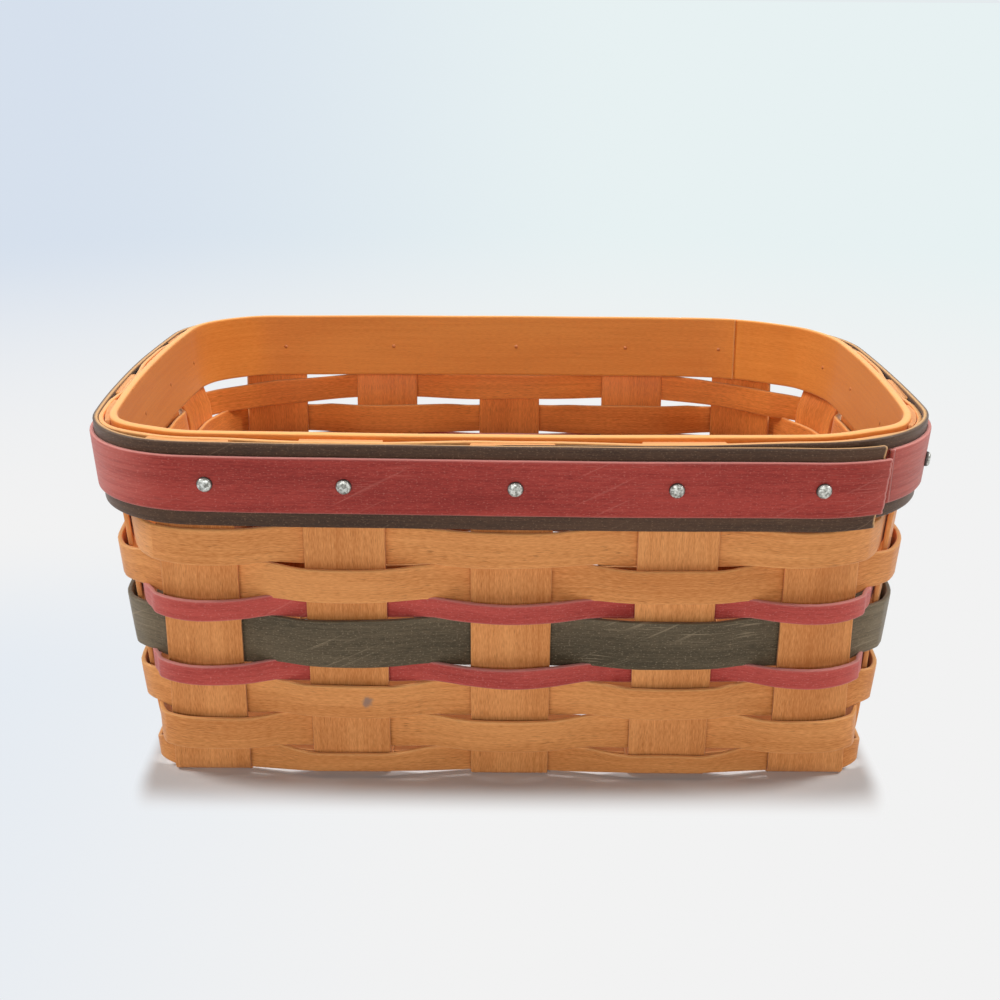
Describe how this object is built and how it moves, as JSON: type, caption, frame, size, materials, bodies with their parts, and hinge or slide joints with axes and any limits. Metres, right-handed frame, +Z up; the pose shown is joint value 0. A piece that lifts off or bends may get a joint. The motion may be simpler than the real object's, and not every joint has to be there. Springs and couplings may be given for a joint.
{
  "type": "open woven basket",
  "caption": "Open rectangular basket woven from flat wooden splints, with flaring walls, dyed accent rows and a rim of bands tacked through every upright.",
  "frame": {"origin": "on the ground under the middle of the outline", "axes": "+X to the right along the long side, +Y to the back, +Z up"},
  "size_m": [0.2074, 0.1521, 0.0892],
  "materials": {
    "natural_splint": "honey-stained splint, satin",
    "inner_band": "honey-stained bent band, satin",
    "red_splint": "red-dyed splint, satin",
    "green_splint": "dark green-dyed splint, satin",
    "dark_band": "dark-dyed band with pale raw edges, satin",
    "tack_metal": "dull zinc"
  },
  "bodies": {
    "root": {"upright_front_back_1": "natural_splint", "upright_front_back_2": "natural_splint", "upright_front_back_3": "natural_splint", "upright_front_back_4": "natural_splint", "upright_front_back_5": "natural_splint", "upright_left_right_1": "natural_splint", "upright_left_right_2": "natural_splint", "upright_left_right_3": "natural_splint", "upright_left_right_4": "natural_splint", "row_1_narrow": "natural_splint", "row_2_natural": "natural_splint", "row_3_natural": "natural_splint", "row_4_red": "red_splint", "row_5_green": "green_splint", "row_6_red": "red_splint", "row_7_natural": "natural_splint", "row_8_natural": "natural_splint", "rim_top_weaver": "natural_splint", "rim_inner_band": "inner_band", "rim_outer_band": "dark_band", "rim_red_trim": "red_splint", "tack_front_1": "tack_metal", "tack_front_2": "tack_metal", "tack_front_3": "tack_metal", "tack_front_4": "tack_metal", "tack_front_5": "tack_metal", "tack_right_1": "tack_metal", "tack_right_2": "tack_metal", "tack_right_3": "tack_metal", "tack_right_4": "tack_metal", "tack_back_1": "tack_metal", "tack_back_2": "tack_metal", "tack_back_3": "tack_metal", "tack_back_4": "tack_metal", "tack_back_5": "tack_metal", "tack_left_1": "tack_metal", "tack_left_2": "tack_metal", "tack_left_3": "tack_metal", "tack_left_4": "tack_metal"}
  },
  "joints": []
}
